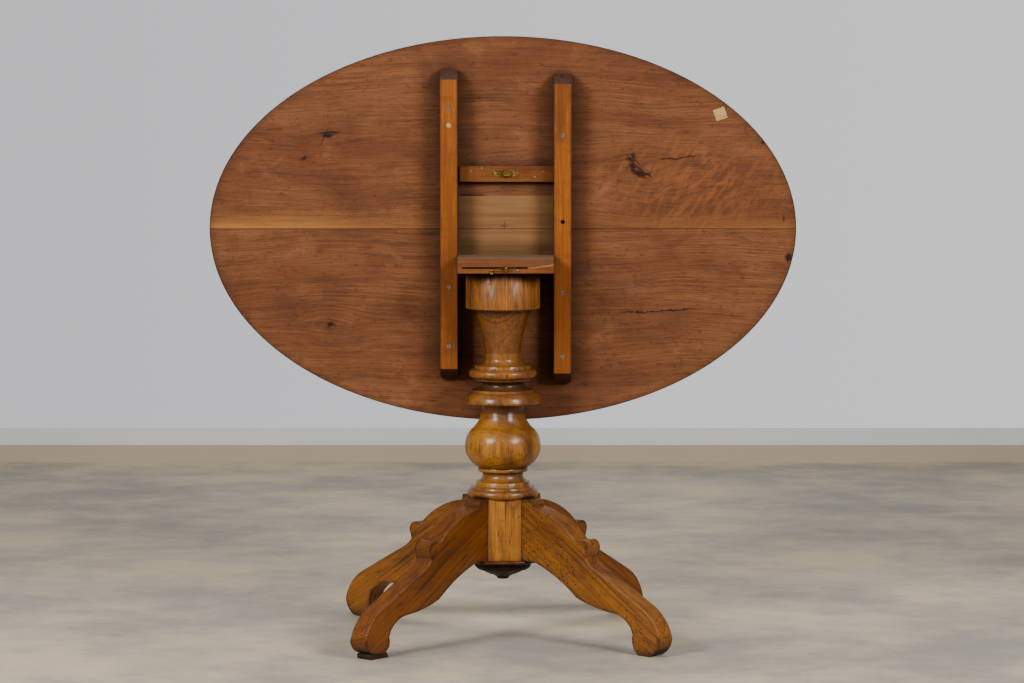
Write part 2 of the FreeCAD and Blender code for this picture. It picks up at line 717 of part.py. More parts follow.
def make_knob():
    """Small turned knob on the end of the bolt's arm: a bead above a ball."""
    body = new_body("bolt_knob")
    low = D["block_top"] - UPPER - 0.2 - D["bolt_thick"] - D["arm_drop"]
    sketch = new_sketch(body, "XZ_Plane")
    trace(sketch, (0, 2.6), [
        ((0, -7.4),),
        ((1, -7.4),),
        ((3.2, -4.3), (1.3, -1.4)),
        ((1.3, -0.9),),
        ((2.6, 0.8), (1, 2.6)),
        ((0, 2.6),),
    ])
    turn(body, sketch)
    away = -D["block_front"] - D["arm_forward"] - 1.2
    for axis, dim in (("x", D["side_slip"] - D["arm_reach"] - 2.6), ("y", away), ("z", low)):
        bind(body, "Placement.Base." + axis, dim)
    return body


def fastener(head, head_tall, shank, shank_long, slot):
    """Slotted screw or plain nail pointing down from its seat, as one boolean solid."""
    parts = []
    for radius, tall, base in ((head, head_tall, 0), (shank, shank_long, -shank_long)):
        cylinder = doc.addObject("Part::Cylinder", "Round")
        bind(cylinder, "Radius", radius)
        bind(cylinder, "Height", tall)
        bind(cylinder, "Placement.Base.z", base)
        parts.append(cylinder)
    solid = doc.addObject("Part::Fuse", "Fastener")
    solid.Base, solid.Tool = parts
    if slot:
        blade = doc.addObject("Part::Box", "Slot")
        bind(blade, "Length", lift(head) * 2.4)
        bind(blade, "Width", lift(head) * 0.24)
        bind(blade, "Height", lift(head_tall))
        bind(blade, "Placement.Base.x", lift(head) * -1.2)
        bind(blade, "Placement.Base.y", lift(head) * -0.12)
        bind(blade, "Placement.Base.z", lift(head_tall) * 0.5)
        cut = doc.addObject("Part::Cut", "Slotted")
        cut.Base, cut.Tool = solid, blade
        solid = cut
    return solid


def group(label, spots, facing, turn_by, **sizes):
    """One node of identical fasteners on the pivot frame; facing is the way their heads point."""
    members = []
    for number, (x, y, z) in enumerate(spots):
        solid = fastener(**sizes)
        aimed = FreeCAD.Rotation(FreeCAD.Vector(0, 0, 1), facing)
        spin = FreeCAD.Rotation(FreeCAD.Vector(0, 0, 1), turn_by + 47 * number)
        solid.Placement = FreeCAD.Placement(FreeCAD.Vector(0, 0, 0), aimed.multiply(spin))
        for axis, dim in (("x", D["side_slip"] + x), ("y", y), ("z", z)):
            bind(solid, "Placement.Base." + axis, dim)
        members.append(solid)
    node = doc.addObject("Part::Compound", label)
    node.Label = label
    node.Links = members
    return node


FRONT = FreeCAD.Vector(0, -1, 0)
UP = FreeCAD.Vector(0, 0, 1)


def make_fasteners():
    """Every screw and nail that shows."""
    seat = BEARER_FACE + D["screw_sink"]
    spots = []
    for hand, sign in (("left", -1), ("right", 1)):
        for height in SCREWS[hand]:
            spots.append((BEARER_MID * sign, seat, OVAL_Z + height))
    nodes = [group("bearer_screws", spots, FRONT, 20, head=D["screw_head"], head_tall=D["screw_sink"] - 0.4,
                   shank=D["screw_radius"], slot=True,
                   shank_long=D["bearer_tall"] - D["screw_sink"] + D["screw_bite"])]
    spots = [(x, RAIL_FACE + 1, PIVOT_Z + along) for x, along in NAILS]
    nodes.append(group("rail_nails", spots, FRONT, 0, head=2, head_tall=0.9, shank=1,
                       shank_long=D["rail_thick"] + 6, slot=False))
    middle = PIVOT_Z + D["keeper_near"] + D["keeper_wide"] / 2
    spots = [(x, RAIL_FACE - D["keeper_thick"], middle) for x in (-20, 20)]
    nodes.append(group("keeper_screws", spots, FRONT, 70, head=2.4, head_tall=0.9, shank=1.2,
                       shank_long=10, slot=True))
    spots = [(x, 2.5 - D["block_front"], SEAM_Z + 0.6) for x in CATCH_SCREWS]
    nodes.append(group("catch_screws", spots, UP, 10, head=1.5, head_tall=1, shank=0.9, shank_long=6, slot=True))
    spots = [(22.3, -D["block_front"], SEAM_Z - 2.6)]
    nodes.append(group("catch_stop", spots, FRONT, 35, head=2.6, head_tall=1.6, shank=1.2, shank_long=10,
                       slot=True))
    return nodes


nodes = [make_column()]
for label, azimuth, sole in (("leg_front_right", -45, 0), ("leg_rear_right", 45, 0),
                             ("leg_rear_left", 135, 0), ("leg_front_left", 225, D["pad_tall"])):
    nodes.append(make_leg(label, azimuth, sole))
nodes += [make_hub_plate(), make_pendant(), make_foot_pad(), make_block_lower(), make_block_upper()]
nodes += [make_pin("pivot_pin_left", -1), make_pin("pivot_pin_right", 1)]
nodes += [make_top_board("top_board_front", 1), make_top_board("top_board_rear", -1), make_patch()]
nodes += [make_bearer("bearer_left", "left", -1), make_bearer("bearer_right", "right", 1), make_plug()]
nodes += [make_rail(), make_keeper(), make_guide(), make_bolt(), make_knob()]
nodes += make_fasteners()
doc.recompute()

for item in doc.Objects:
    assert not {"Invalid", "Error"} & set(item.State), "%s: %s" % (item.Label, item.State)
os.makedirs("parts", exist_ok=True)
for node in nodes:
    shape = node.Shape
    assert not shape.isNull() and shape.isValid(), "%s has no valid shape" % node.Label
    shape.exportStep("parts/%s.step" % node.Label)
    box = shape.optimalBoundingBox()
    print("%-18s solids %d volume %.0f  x %.1f..%.1f  y %.1f..%.1f  z %.1f..%.1f" % (
        node.Label, len(shape.Solids), shape.Volume, box.XMin, box.XMax, box.YMin, box.YMax, box.ZMin, box.ZMax))
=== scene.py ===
"""Looks of the tilt top table: aged walnut, brass catch, iron screws; metres, in the frame of the model."""
import json
import math

import bmesh
import bpy
from mathutils import Matrix, Vector


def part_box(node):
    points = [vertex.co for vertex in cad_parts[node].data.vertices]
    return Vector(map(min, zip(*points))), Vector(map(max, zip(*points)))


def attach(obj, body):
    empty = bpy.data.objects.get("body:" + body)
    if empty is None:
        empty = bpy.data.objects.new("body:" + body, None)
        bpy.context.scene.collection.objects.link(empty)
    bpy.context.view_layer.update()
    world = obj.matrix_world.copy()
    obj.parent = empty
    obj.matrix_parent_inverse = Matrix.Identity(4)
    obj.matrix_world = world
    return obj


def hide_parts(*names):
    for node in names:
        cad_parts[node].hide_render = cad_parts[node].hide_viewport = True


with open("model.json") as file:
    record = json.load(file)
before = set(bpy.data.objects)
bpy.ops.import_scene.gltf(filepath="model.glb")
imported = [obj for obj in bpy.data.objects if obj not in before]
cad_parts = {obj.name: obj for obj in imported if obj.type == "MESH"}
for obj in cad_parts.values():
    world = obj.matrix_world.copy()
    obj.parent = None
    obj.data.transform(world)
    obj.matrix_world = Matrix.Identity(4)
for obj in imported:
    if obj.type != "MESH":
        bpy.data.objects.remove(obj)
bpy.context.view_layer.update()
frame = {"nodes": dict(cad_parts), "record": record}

RECORD = frame["record"]
BODY = {node: body for body, nodes in RECORD["behaviour"]["bodies"].items() for node in nodes}
YAW = math.radians(3.6)
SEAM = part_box("top_board_front")[0].z
OVAL = (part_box("top_board_front")[1].x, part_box("top_board_front")[1].z - SEAM)
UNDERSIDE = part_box("top_board_front")[0].y
BLOCK_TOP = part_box("block_upper_board")[1].z
FRAME_X = (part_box("bearer_left")[0].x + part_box("bearer_right")[1].x) / 2


# ---------------------------------------------------------------- shader helpers

def linear(code):
    """sRGB hex colour as linear RGBA: c / 12.92 below 0.04045, else ((c + 0.055) / 1.055) ** 2.4."""
    parts = [int(code[i:i + 2], 16) / 255 for i in (1, 3, 5)]
    return tuple(c / 12.92 if c <= 0.04045 else ((c + 0.055) / 1.055) ** 2.4 for c in parts) + (1.0,)


def put(mat, kind, inputs=None, **settings):
    """Add one shader node: settings are its properties, inputs its sockets' values or links."""
    made = mat.node_tree.nodes.new("ShaderNode" + kind)
    for name, value in settings.items():
        setattr(made, name, value)
    for name, value in (inputs or {}).items():
        if isinstance(value, bpy.types.NodeSocket):
            mat.node_tree.links.new(value, made.inputs[name])
        else:
            made.inputs[name].default_value = value
    return made


def calc(mat, operation, a, b=0.0, c=0.0, clamp=False):
    return put(mat, "Math", {0: a, 1: b, 2: c}, operation=operation, use_clamp=clamp).outputs[0]


def step(mat, value, low, high, to_low=0.0, to_high=1.0):
    """Smooth step of value from low to high."""
    inputs = {"Value": value, "From Min": low, "From Max": high, "To Min": to_low, "To Max": to_high}
    return put(mat, "MapRange", inputs, interpolation_type="SMOOTHSTEP").outputs["Result"]


def noise(mat, vector, scale, detail=3.0, rough=0.55, stretch=(1, 1, 1), warp=0.0):
    """Fractal noise; stretch multiplies the coordinates first, so a small factor draws the pattern out."""
    spread = put(mat, "VectorMath", {0: vector, 1: stretch}, operation="MULTIPLY").outputs[0]
    inputs = {"Vector": spread, "Scale": scale, "Detail": detail, "Roughness": rough, "Distortion": warp}
    return put(mat, "TexNoise", inputs).outputs["Fac"]


def mix(mat, factor, a, b, blend="MIX"):
    made = put(mat, "Mix", data_type="RGBA", blend_type=blend, clamp_factor=True)
    for socket, value in ((made.inputs[0], factor), (made.inputs[6], a), (made.inputs[7], b)):
        if isinstance(value, bpy.types.NodeSocket):
            mat.node_tree.links.new(value, socket)
        else:
            socket.default_value = value
    return made.outputs[2]


def ramp(mat, value, stops):
    """Colour ramp; stops are (position, hex colour)."""
    made = put(mat, "ValToRGB", {"Fac": value})
    made.color_ramp.interpolation = "EASE"
    while len(made.color_ramp.elements) < len(stops):
        made.color_ramp.elements.new(0.5)
    for element, (position, code) in zip(made.color_ramp.elements, stops):
        element.position = position
        element.color = linear(code)
    return made.outputs["Color"]


def fresh(name, comment):
    """An empty material with a principled shader; comment says what the real surface is."""
    mat = bpy.data.materials.new(name)
    mat.use_nodes = True
    mat["real"] = comment
    return mat, mat.node_tree.nodes["Principled BSDF"]


def bump(mat, shader, height, distance, strength=1.0):
    inputs = {"Height": height, "Distance": distance, "Strength": strength}
    normal = put(mat, "Bump", inputs).outputs["Normal"]
    mat.node_tree.links.new(normal, shader.inputs["Normal"])


def place(mat, turn, shift=(0, 0, 0)):
    """Object coordinates, moved by shift and turned so that x runs along the grain."""
    spot = put(mat, "TexCoord").outputs["Object"]
    moved = put(mat, "VectorMath", {0: spot, 1: shift}, operation="ADD").outputs[0]
    return spot, put(mat, "Mapping", {"Vector": moved, "Rotation": turn}).outputs[0]


# ---------------------------------------------------------------- wood

WALNUT = {"light": "#9b5f1c", "mid": "#7c4815", "late": "#381c08", "bloom": "#55290b", "pore": "#180a03"}
# Darker copy of the walnut tones, for the front-left and rear-right legs and the hub plate: painted shade
# where less light falls on them.
WALNUT_IN_SHADE = {"light": "#824709", "mid": "#673606", "late": "#301604", "bloom": "#502805", "pore": "#160903"}
UNDER = {"light": "#7b4d2e", "mid": "#693c22", "late": "#482816", "bloom": "#553220", "pore": "#29160c"}
GOLD = {"light": "#985106", "mid": "#7c3f04", "late": "#5a2c03", "bloom": "#663509", "pore": "#351a04"}
RAIL = {"light": "#824a12", "mid": "#6d3a0d", "late": "#4c2406", "bloom": "#5a2a10", "pore": "#2c1404"}
BLOCK = {"light": "#74401c", "mid": "#5f3012", "late": "#40200c", "bloom": "#6a4128", "pore": "#281208"}


def square_sum(mat, a, b):
    """a * a + b * b."""
    return calc(mat, "ADD", calc(mat, "MULTIPLY", a, a), calc(mat, "MULTIPLY", b, b))


def split(mat, vector):
    return put(mat, "SeparateXYZ", {0: vector}).outputs


def flow(mat, local, spot, knots, wander):
    """Coordinates whose z follows the fibres.

    Slow noise gives z' = z + wander * (n - 0.5), and each knot at (xk, zk) with half sizes a and b presses
    z' = z - 0.85 * (z - zk) * exp(-d * d), d being the distance in half sizes, so that fibres part round it.
    """
    axes = split(mat, local)
    slow = noise(mat, local, 3.0, 2.0, 0.5, (0.6, 1.0, 1.0))
    height = calc(mat, "MULTIPLY_ADD", calc(mat, "SUBTRACT", slow, 0.5), wander, axes[2])
    for x, z, wide, tall in knots:
        place_in = split(mat, spot)
        across = calc(mat, "DIVIDE", calc(mat, "SUBTRACT", place_in[0], x), wide)
        rise = calc(mat, "SUBTRACT", place_in[2], z)
        near = square_sum(mat, across, calc(mat, "DIVIDE", rise, tall))
        press = calc(mat, "MULTIPLY", calc(mat, "POWER", 2.718, calc(mat, "MULTIPLY", near, -1.0)), -0.85)
        height = calc(mat, "MULTIPLY_ADD", rise, press, height)
    return put(mat, "CombineXYZ", {0: axes[0], 1: axes[1], 2: height}).outputs[0]


def grain(mat, local, tones, ring=0.004, pith=(0.02, 0.30), bold=0.6, soft=1.0, rough=0.3):
    """Colour, height and tone of sawn wood whose fibres run along local x.

    Growth rings lie at r = hypot(y - py, z - pz) from the pith line. Noise read at (r / ring, x drawn out)
    makes them uneven, dark where it is high. Streaks, fibres and pores are noise drawn out along x, and two
    clouds of slow noise shift the tone. bold scales rings and streaks, soft clouds, rough fibres and pores.
    """
    axes = split(mat, local)
    side = calc(mat, "SUBTRACT", axes[1], pith[0])
    deep = calc(mat, "SUBTRACT", axes[2], pith[1])
    bend = noise(mat, local, 5.0, 3.0, 0.5, (0.5, 1.6, 1.6))
    away = calc(mat, "MULTIPLY_ADD", bend, 0.03, calc(mat, "SQRT", square_sum(mat, side, deep)))
    rings = put(mat, "CombineXYZ", {0: away, 1: calc(mat, "MULTIPLY", axes[0], 0.012)}).outputs[0]
    late = step(mat, noise(mat, rings, 1 / ring, 3.0, 0.5), 0.44, 0.72)
    streak = noise(mat, local, 26.0, 5.0, 0.65, (0.07, 3.0, 3.0), 0.3)
    fibre = noise(mat, local, 60.0, 4.0, 0.62, (0.12, 11.0, 11.0))
    pores = step(mat, noise(mat, local, 90.0, 2.0, 0.5, (0.35, 14.0, 14.0)), 0.58, 0.72)
    tone = noise(mat, local, 7.0, 4.0, 0.6, (0.4, 1.5, 1.5), 0.5)
    cloud = noise(mat, local, 13.0, 5.0, 0.65, (0.6, 1.2, 1.2), 0.8)
    colour = mix(mat, step(mat, tone, 0.32, 0.68), linear(tones["mid"]), linear(tones["light"]))
    colour = mix(mat, step(mat, cloud, 0.46, 0.70, 0.0, 0.7 * soft), colour, linear(tones["bloom"]))
    colour = mix(mat, step(mat, streak, 0.50, 0.72, 0.0, bold), colour, linear(tones["late"]))
    colour = mix(mat, step(mat, streak, 0.28, 0.44, bold * 0.6, 0.0), colour, linear(tones["light"]))
    colour = mix(mat, calc(mat, "MULTIPLY", late, bold), colour, linear(tones["late"]))
    colour = mix(mat, step(mat, fibre, 0.30, 0.65, rough, 0.0), colour, linear(tones["pore"]))
    colour = mix(mat, calc(mat, "MULTIPLY", pores, rough + 0.12), colour, linear(tones["pore"]))
    relief = calc(mat, "MULTIPLY_ADD", fibre, 0.5, calc(mat, "MULTIPLY", late, 0.25))
    return colour, calc(mat, "MULTIPLY_ADD", pores, -0.9, relief), tone


def hollow_shade_and_grime(mat, reach, low=0.3, high=0.9, most=0.7):
    """Factor of painted shade, with some real soiling, from how closed in a place is."""
    open_sky = put(mat, "AmbientOcclusion", {"Distance": reach}, samples=8).outputs["AO"]
    return step(mat, open_sky, low, high, most, 0.0)


def arris_dirt(mat, spot, reach, most):
    """Factor of the dark patina along outer edges, found by looking inwards, broken up by noise."""
    near = put(mat, "AmbientOcclusion", {"Distance": reach}, samples=8, inside=True).outputs["AO"]
    patchy = step(mat, noise(mat, spot, 45.0, 4.0, 0.6), 0.35, 0.6, 0.35, 1.0)
    return calc(mat, "MULTIPLY", step(mat, near, 0.45, 0.95, most, 0.0), patchy)


def worm_holes(mat, colour, spot, scale, least, much):
    """Dark pin holes, gathered where slow noise is above least."""
    cells = put(mat, "TexVoronoi", {"Vector": spot, "Scale": scale}).outputs["Distance"]
    herd = noise(mat, spot, 14.0, 2.0, 0.5)
    hole = step(mat, cells, 0.18, 0.28, much, 0.0)
    holes = calc(mat, "MULTIPLY", hole, step(mat, herd, least, least + 0.08))
    return mix(mat, holes, colour, linear("#140803"))


def dusty(mat, colour, spot, code, much):
    """Dull grey-brown film on faces that look up: settled dirt, partly a painted sheen of the light from
    above.
    """
    normal = split(mat, put(mat, "TexCoord").outputs["Normal"])[2]
    film = noise(mat, spot, 30.0, 4.0, 0.6, (0.5, 1.0, 1.0))
    upward = calc(mat, "MULTIPLY", step(mat, normal, 0.25, 0.8), step(mat, film, 0.2, 0.7, much * 0.6, much))
    return mix(mat, upward, colour, linear(code))


# Height bands of the column (low, high) and the tint that multiplies their colour: the hub, brightened as
# painted light; the bulb, brightened; the neck, darkened as painted shadow of the drum.
LIGHT_AND_SHADE_BANDS = [
    (0.150, 0.264, (1.40, 1.50, 1.15, 1.0)),
    (0.290, 0.415, (1.35, 1.50, 0.90, 1.0)),
    (0.545, 0.622, (0.56, 0.50, 0.36, 1.0)),
]


def turned_marks(mat, colour, axes):
    """The column's marks: a glue line and a small knot on the drum, painted light on the hub, a brighter
    bulb, painted shadow on the neck.

    The glue line is the plane x = x0 + slope * (z - z0) seen on the front. Tints multiply the colour.
    """
    lean, line_x, line_z = 0.027, -0.0605, 0.665
    offset = calc(mat, "ADD", axes[0], line_z * lean - line_x)
    away = calc(mat, "ABSOLUTE", calc(mat, "MULTIPLY_ADD", axes[2], -lean, offset))
    front = step(mat, axes[1], -0.004, 0.0, 1.0, 0.0)
    thin = calc(mat, "MULTIPLY", step(mat, away, 0.0004, 0.0012, 0.85, 0.0), front)
    knot = calc(mat, "SQRT", off_centre(mat, axes, -0.0265, 0.677, 0.0025, 0.004))
    spot = calc(mat, "MULTIPLY", step(mat, knot, 0.6, 1.3, 0.85, 0.0), front)
    colour = mix(mat, calc(mat, "MAXIMUM", thin, spot), colour, linear("#1d0c03"))
    # painted light on the hub, painted shadow on the neck, a brighter bulb, band by band
    for low, high, tint in LIGHT_AND_SHADE_BANDS:
        above = step(mat, axes[2], low - 0.006, low)
        band = calc(mat, "MULTIPLY", above, step(mat, axes[2], high, high + 0.006, 1.0, 0.0))
        colour = mix(mat, band, colour, tint, "MULTIPLY")
    return colour


def waxed_walnut(name, turn, shift, tones=WALNUT, ring=0.0036, pith=(0.08, 0.02), holes=0.62, turned=False):
    """Walnut, turned or sawn, scraped, French polished and waxed for a century: amber, with painted shade in
    the hollows.
    """
    mat, shader = fresh(name, "European walnut, shellac and wax over a scraped surface")
    spot, local = place(mat, turn, shift)
    fibres = flow(mat, local, spot, (), 0.02 if turned else 0.05)
    colour, height, tone = grain(mat, fibres, tones, ring, pith, 0.52, 1.0, 0.5)
    fleck = noise(mat, local, 110.0, 3.0, 0.6, (0.35, 2.5, 2.5))
    colour = mix(mat, step(mat, fleck, 0.56, 0.70, 0.0, 0.55), colour, linear(tones["pore"]))
    colour = worm_holes(mat, colour, spot, 150.0, holes, 0.95)
    # a dull film on faces that look up: settled dirt, partly a painted sheen of the light from above
    colour = dusty(mat, colour, spot, "#573216", 0.30)
    # painted shade: a wide reach darkens under overhangs such as the drum, a short one darkens recesses
    wide = hollow_shade_and_grime(mat, 0.070, 0.25, 0.85, 0.45)
    shade_and_grime = calc(mat, "MAXIMUM", wide, hollow_shade_and_grime(mat, 0.024, 0.40, 1.0, 0.95))
    if turned:
        axes = split(mat, spot)
        colour = turned_marks(mat, colour, axes)
        # painted light: the hub keeps only a quarter of its painted shade
        shade_and_grime = calc(mat, "MULTIPLY", shade_and_grime, step(mat, axes[2], 0.255, 0.275, 0.25, 1.0))
        mat.node_tree.links.new(step(mat, axes[2], 0.60, 0.64, 0.42, 0.10), shader.inputs["Coat Weight"])
    else:
        shade_and_grime = calc(mat, "MAXIMUM", shade_and_grime, arris_dirt(mat, spot, 0.010, 0.85))
        shader.inputs["Coat Weight"].default_value = 0.22
    # painted shade in the recesses, partly real soiling, and dark patina along the arrises of sawn pieces
    colour = mix(mat, shade_and_grime, colour, linear("#1f0d04"))
    mat.node_tree.links.new(colour, shader.inputs["Base Color"])
    rough = step(mat, tone, 0.2, 0.8, 0.42, 0.58)
    mat.node_tree.links.new(calc(mat, "MULTIPLY_ADD", shade_and_grime, 0.25, rough), shader.inputs["Roughness"])
    shader.inputs["Specular IOR Level"].default_value = 0.2
    shader.inputs["Coat Roughness"].default_value = 0.23
    bump(mat, shader, height, 0.00010)
    return mat


def bearer_wood(name, turn, shift, tones=GOLD, dust_and_sheen=0.0, raw=False, middle=None):
    """Quarter-sawn golden hardwood, planed and oiled by hands; raw adds the pale torn edge of the block.

    middle is the x of a bearer's centre line: its long edges and sides are darker.
    """
    mat, shader = fresh(name, "oiled walnut or elm stock, hand planed")
    spot, local = place(mat, turn, shift)
    fibres = flow(mat, local, spot, (), 0.02)
    colour, height, tone = grain(mat, fibres, tones, 0.0032, (0.25, 0.05), 0.34, 1.2, 0.42)
    ripple = noise(mat, local, 34.0, 3.0, 0.5, (2.0, 0.5, 0.5), 0.6)
    colour = mix(mat, step(mat, ripple, 0.45, 0.75, 0.0, 0.55), colour, linear(tones["bloom"]))
    if middle is not None:
        off = calc(mat, "ABSOLUTE", calc(mat, "SUBTRACT", split(mat, spot)[0], middle))
        ragged = noise(mat, spot, 70.0, 4.0, 0.6, (1.0, 1.0, 0.4))
        # darker towards the long edges and sides
        worn = step(mat, calc(mat, "MULTIPLY_ADD", ragged, 0.006, off), 0.0155, 0.0195, 0.0, 0.7)
        colour = mix(mat, worn, colour, linear("#43200a"))
    if raw:
        axes = split(mat, spot)
        torn = noise(mat, spot, 120.0, 4.0, 0.6, (0.5, 1.0, 1.0))
        rise = calc(mat, "MULTIPLY_ADD", calc(mat, "SUBTRACT", axes[0], 0.045), -0.125, axes[2])
        edge = calc(mat, "MULTIPLY_ADD", torn, 0.005, calc(mat, "SUBTRACT", rise, BLOCK_TOP - 0.0165))
        line = step(mat, calc(mat, "ABSOLUTE", edge), 0.0004, 0.0018, 0.80, 0.0)
        line = calc(mat, "MULTIPLY", line, step(mat, axes[0], 0.040, 0.060))
        colour = mix(mat, line, colour, linear("#96683c"))
    # dull film on faces that look up: settled dirt, partly a painted sheen
    if dust_and_sheen:
        colour = dusty(mat, colour, spot, "#6a5442", dust_and_sheen)
    # painted shade in recesses, such as where a piece meets the top
    colour = mix(mat, hollow_shade_and_grime(mat, 0.03), colour, linear("#2a1507"))
    mat.node_tree.links.new(colour, shader.inputs["Base Color"])
    mat.node_tree.links.new(step(mat, tone, 0.2, 0.8, 0.48, 0.62), shader.inputs["Roughness"])
    shader.inputs["Specular IOR Level"].default_value = 0.2
    bump(mat, shader, height, 0.00012)
    return mat


def end_grain(name):
    """Bevelled end of a bearer: end grain drinks dirt and goes nearly black-brown."""
    mat, shader = fresh(name, "end grain of walnut, dark with dirt")
    spot = put(mat, "TexCoord").outputs["Object"]
    ring = noise(mat, spot, 160.0, 4.0, 0.6, (1.0, 0.3, 0.3))
    colour = ramp(mat, ring, [(0.3, "#2c150b"), (0.5, "#3e2112"), (0.7, "#1d0e07")])
    mat.node_tree.links.new(colour, shader.inputs["Base Color"])
    shader.inputs["Roughness"].default_value = 0.65
    shader.inputs["Specular IOR Level"].default_value = 0.2
    bump(mat, shader, ring, 0.0002)
    return mat


KNOTS = [
    (-0.334, 0.181, 0.070, 0.026),
    (-0.382, 0.135, 0.050, 0.014),
    (-0.333, -0.183, 0.062, 0.034),
    (0.262, 0.126, 0.060, 0.036),
    (0.350, 0.086, 0.120, 0.055),
]
CORES = [(-0.336, 0.179, 0.024, 0.010), (-0.383, 0.135, 0.020, 0.008), (-0.333, -0.183, 0.015, 0.017),
         (0.268, 0.108, 0.028, 0.018), (0.250, 0.130, 0.017, 0.040), (0.552, -0.055, 0.009, 0.013),
         (0.541, 0.020, 0.005, 0.016), (0.500, 0.165, 0.007, 0.009), (-0.541, -0.121, 0.005, 0.014)]
CRACKS = [(0.338, 0.137, 0.050, 0.10), (0.270, 0.111, 0.020, -0.80), (0.255, 0.134, 0.014, -1.10),
          (-0.335, 0.185, 0.030, 0.05), (-0.345, 0.174, 0.012, 1.8), (0.30, -0.159, 0.10, 0.05)]


def underside_wood(name, shift, side):
    """Underside of the oval: dull brown walnut boards with knots, sap wood at the joint and a bare panel.

    Places on it are (x, z) measured from the joint. A plume of crossed figure fills the ellipse at its right.
    """
    mat, shader = fresh(name, "European walnut underside, never polished, handled and dusty")
    spot, local = place(mat, (0, 0, 0), shift)
    seat = put(mat, "VectorMath", {0: spot, 1: (0, 0, -SEAM)}, operation="ADD").outputs[0]
    pith = (0.5, 0.62 if side > 0 else 1.1)
    fibres = flow(mat, local, seat, KNOTS, 0.07)
    colour, height, tone = grain(mat, fibres, UNDER, 0.0046, pith, 0.36, 0.8, 0.45)
    axes = split(mat, seat)
    stain = noise(mat, spot, 9.0, 6.0, 0.66, (1.0, 1.0, 1.2), 0.4)
    colour = mix(mat, step(mat, stain, 0.50, 0.72, 0.0, 0.50), colour, linear("#4a2a1a"))
    colour = mix(mat, step(mat, stain, 0.26, 0.44, 0.40, 0.0), colour, linear("#8a5a38"))
    speck = noise(mat, spot, 150.0, 3.0, 0.6, (0.7, 1.0, 1.0))
    colour = mix(mat, step(mat, speck, 0.58, 0.72, 0.0, 0.45), colour, linear("#331b0f"))
    crossed = put(mat, "Mapping", {"Vector": spot, "Rotation": (0, math.radians(52), 0)}).outputs[0]
    feather = noise(mat, crossed, 55.0, 5.0, 0.65, (0.5, 1.0, 1.6), 0.6)
    near = calc(mat, "SQRT", off_centre(mat, axes, 0.36, 0.089, 0.26, 0.13))
    plume = calc(mat, "MULTIPLY", step(mat, near, 0.2, 1.0, 1.0, 0.0), step(mat, feather, 0.42, 0.66))
    colour = mix(mat, calc(mat, "MULTIPLY", plume, 0.36), colour, linear("#95572c"))
    ragged = noise(mat, spot, 60.0, 4.0, 0.65, (1.0, 1.0, 1.6), 0.5)
    for x, z, wide, tall in CORES:
        near = calc(mat, "SQRT", off_centre(mat, axes, x, z, wide, tall))
        core = step(mat, calc(mat, "MULTIPLY_ADD", ragged, 2.4, near), 1.25, 1.95, 0.92, 0.0)
        colour = mix(mat, core, colour, linear("#160b06"))
    streaks = noise(mat, spot, 30.0, 4.0, 0.6, (0.12, 1.0, 3.0))
    if side > 0:
        colour = sap_streak(mat, colour, axes, streaks)
    colour = bare_panel(mat, colour, axes, streaks)
    wobble = calc(mat, "MULTIPLY", calc(mat, "SUBTRACT", ragged, 0.5), 0.014)
    for x, z, half, slope in CRACKS:
        along = calc(mat, "SUBTRACT", axes[0], x)
        line = calc(mat, "MULTIPLY_ADD", along, -slope, calc(mat, "SUBTRACT", axes[2], z))
        line = calc(mat, "ABSOLUTE", calc(mat, "ADD", line, wobble))
        inside = step(mat, calc(mat, "ABSOLUTE", along), half * 0.4, half, 1.0, 0.0)
        crack = calc(mat, "MULTIPLY", step(mat, line, 0.0006, 0.0022, 0.9, 0.0), inside)
        colour = mix(mat, crack, colour, linear("#160b06"))
    rim = calc(mat, "SQRT", off_centre(mat, axes, 0.0, 0.0, OVAL[0], OVAL[1]))
    worn = calc(mat, "MULTIPLY_ADD", ragged, 0.05, rim)
    colour = mix(mat, step(mat, worn, 0.990, 1.035, 0.0, 0.45), colour, linear("#2c160b"))
    colour = mix(mat, step(mat, rim, 0.994, 0.999, 0.0, 0.6), colour, linear("#1c0d06"))
    joint = calc(mat, "ABSOLUTE", axes[2])
    colour = mix(mat, step(mat, joint, 0.0003, 0.0014, 0.75, 0.0), colour, linear("#241208"))
    # painted shade near the bearers, the rail and the block, partly settled dirt
    colour = mix(mat, hollow_shade_and_grime(mat, 0.05, 0.4, 1.0, 0.65), colour, linear("#1e0f07"))
    mat.node_tree.links.new(colour, shader.inputs["Base Color"])
    mat.node_tree.links.new(step(mat, tone, 0.2, 0.8, 0.60, 0.75), shader.inputs["Roughness"])
    shader.inputs["Specular IOR Level"].default_value = 0.12
    bump(mat, shader, height, 0.00015)
    return mat


def off_centre(mat, axes, x, z, wide, tall):
    """Squared distance from a point of the underside, in half sizes."""
    across = calc(mat, "DIVIDE", calc(mat, "SUBTRACT", axes[0], x), wide)
    return square_sum(mat, across, calc(mat, "DIVIDE", calc(mat, "SUBTRACT", axes[2], z), tall))


def sap_streak(mat, colour, axes, streaks):
    """Pale band of sap wood just above the centre joint, strongest on the left."""
    rise = calc(mat, "MULTIPLY_ADD", streaks, 0.045, axes[2])
    band = step(mat, rise, 0.018, 0.058, 1.0, 0.0)
    left = step(mat, axes[0], -0.45, -0.06, 1.0, 0.0)
    right = step(mat, axes[0], 0.10, 0.45, 0.0, 0.40)
    strength = calc(mat, "MULTIPLY", band, calc(mat, "ADD", left, right))
    return mix(mat, calc(mat, "MULTIPLY", strength, 0.85), colour, linear("#97612f"))


